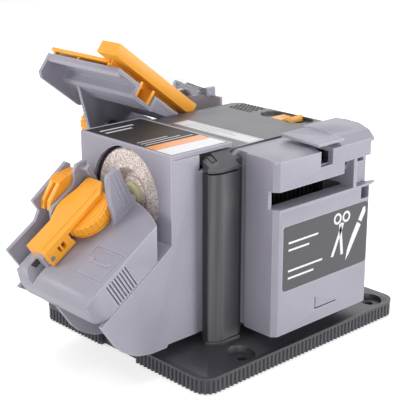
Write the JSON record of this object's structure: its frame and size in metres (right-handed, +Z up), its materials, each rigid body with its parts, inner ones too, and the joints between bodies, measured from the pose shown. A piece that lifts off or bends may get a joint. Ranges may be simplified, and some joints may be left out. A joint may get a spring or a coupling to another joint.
{
  "type": "bench sharpening station",
  "caption": "Bench sharpening station: motor tower with a grinding wheel on a fluted base, and slide-on drill bit, knife and chisel attachments.",
  "frame": {"origin": "centre of the four bench screw holes, at the bench surface the feet rest on", "axes": "+Z up; -X is the working front with the grinding wheel; the knife unit is on the -Y side and the chisel unit on the +Y side"},
  "size_m": [0.1993, 0.1755, 0.1603],
  "materials": {
    "charcoal_plastic": "satin",
    "black_plastic": "satin",
    "cover_plastic": "satin",
    "grey_plastic": "satin",
    "orange_plastic": "satin",
    "silver_label": "satin",
    "black_label": "gloss",
    "dark_label": "satin",
    "bright_steel": "satin",
    "copper_winding": "satin",
    "brush_carbon": "matte",
    "abrasive_grit": "rough",
    "pale_nut": "satin",
    "black_rubber": "matte",
    "foot_rubber": "matte",
    "clear_guard": "gloss"
  },
  "bodies": {
    "station": {"base_plate": "charcoal_plastic", "rubber_feet": "foot_rubber", "tower_shell": "charcoal_plastic", "vent_panels": "black_plastic", "top_cover": "cover_plastic", "rating_plate": "silver_label", "housing_screws": "bright_steel", "switch_frame": "black_plastic", "cord_inlet": "black_plastic", "motor_can": "bright_steel", "motor_end_bell": "black_plastic", "motor_bearings": "bright_steel", "motor_saddle": "charcoal_plastic", "carbon_brushes": "brush_carbon"},
    "rotor": {"motor_shaft": "bright_steel", "armature": "copper_winding", "commutator": "copper_winding", "cooling_fan": "black_plastic", "wheel_hub": "bright_steel", "grinding_wheel": "abrasive_grit", "wheel_nut": "pale_nut"},
    "rocker": {"switch_rocker": "orange_plastic"},
    "drill_unit": {"drill_housing": "grey_plastic", "drill_label": "black_label", "cradle_pivot": "bright_steel"},
    "cradle": {"bit_cradle": "grey_plastic", "clamp_pad": "black_rubber", "gauge_pin": "bright_steel"},
    "clamp": {"clamp_arm": "orange_plastic", "clamp_hinge_pin": "bright_steel"},
    "thumbscrew": {"clamp_screw": "orange_plastic"},
    "gauge": {"bit_gauge": "orange_plastic"},
    "knife_unit": {"knife_housing": "grey_plastic", "knife_label": "dark_label"},
    "chisel_unit": {"chisel_housing": "grey_plastic", "chisel_label": "dark_label", "angle_pointer": "silver_label", "arm_hinge_pin": "bright_steel", "guard_clip": "grey_plastic"},
    "tilt_arm": {"chisel_arm": "grey_plastic", "angle_bolt": "bright_steel"},
    "knob": {"angle_knob": "orange_plastic"},
    "table": {"chisel_table": "orange_plastic"},
    "guard": {"chisel_guard": "clear_guard"}
  },
  "joints": [
    {"name": "wheel_spin", "type": "hinge", "parent": "station", "child": "rotor", "pos_m": [-0.07, 0, 0.0892], "axis": [1, 0, 0], "continuous": true},
    {"name": "switch_rock", "type": "hinge", "parent": "station", "child": "rocker", "pos_m": [0.032, -0.0105, 0.1111], "axis": [1, 0, 0], "range_deg": [0, 18]},
    {"name": "drill_unit_lift", "type": "slide", "parent": "station", "child": "drill_unit", "axis": [0, 0, 1], "range_m": [0, 0.09]},
    {"name": "knife_unit_lift", "type": "slide", "parent": "station", "child": "knife_unit", "axis": [0, 0, 1], "range_m": [0, 0.09]},
    {"name": "chisel_unit_lift", "type": "slide", "parent": "station", "child": "chisel_unit", "axis": [0, 0, 1], "range_m": [0, 0.09]},
    {"name": "cradle_swivel", "type": "hinge", "parent": "drill_unit", "child": "cradle", "pos_m": [-0.08824, 0, 0.06518], "axis": [-0.5519, 0, 0.8339], "range_deg": [-12, 12]},
    {"name": "clamp_lift", "type": "hinge", "parent": "cradle", "child": "clamp", "pos_m": [-0.12568, 0.008, 0.06558], "axis": [0, -1, 0], "range_deg": [0, 5]},
    {"name": "thumbscrew_turn", "type": "hinge", "parent": "clamp", "child": "thumbscrew", "pos_m": [-0.10011, 0.0055, 0.08131], "axis": [-0.5519, 0, 0.8339], "range_deg": [0, 360]},
    {"name": "gauge_flip", "type": "hinge", "parent": "cradle", "child": "gauge", "pos_m": [-0.09091, 0.03, 0.09459], "axis": [0, 1, 0], "range_deg": [0, 35]},
    {"name": "arm_tilt", "type": "hinge", "parent": "chisel_unit", "child": "tilt_arm", "pos_m": [0.02, 0.092, 0.09], "axis": [0, -1, 0], "range_deg": [0, 8]},
    {"name": "knob_turn", "type": "hinge", "parent": "tilt_arm", "child": "knob", "pos_m": [-0.02, 0.1, 0.1], "axis": [0, 1, 0], "continuous": true},
    {"name": "table_slide", "type": "slide", "parent": "tilt_arm", "child": "table", "axis": [0, 1, 0], "range_m": [0, 0.014]},
    {"name": "guard_lift", "type": "hinge", "parent": "chisel_unit", "child": "guard", "pos_m": [0.034, 0.071, 0.119], "axis": [0, 1, 0], "range_deg": [0, 70]}
  ],
  "couplings": [
    {"joint": "thumbscrew_turn", "follows": "clamp_lift", "ratio": 60}
  ]
}
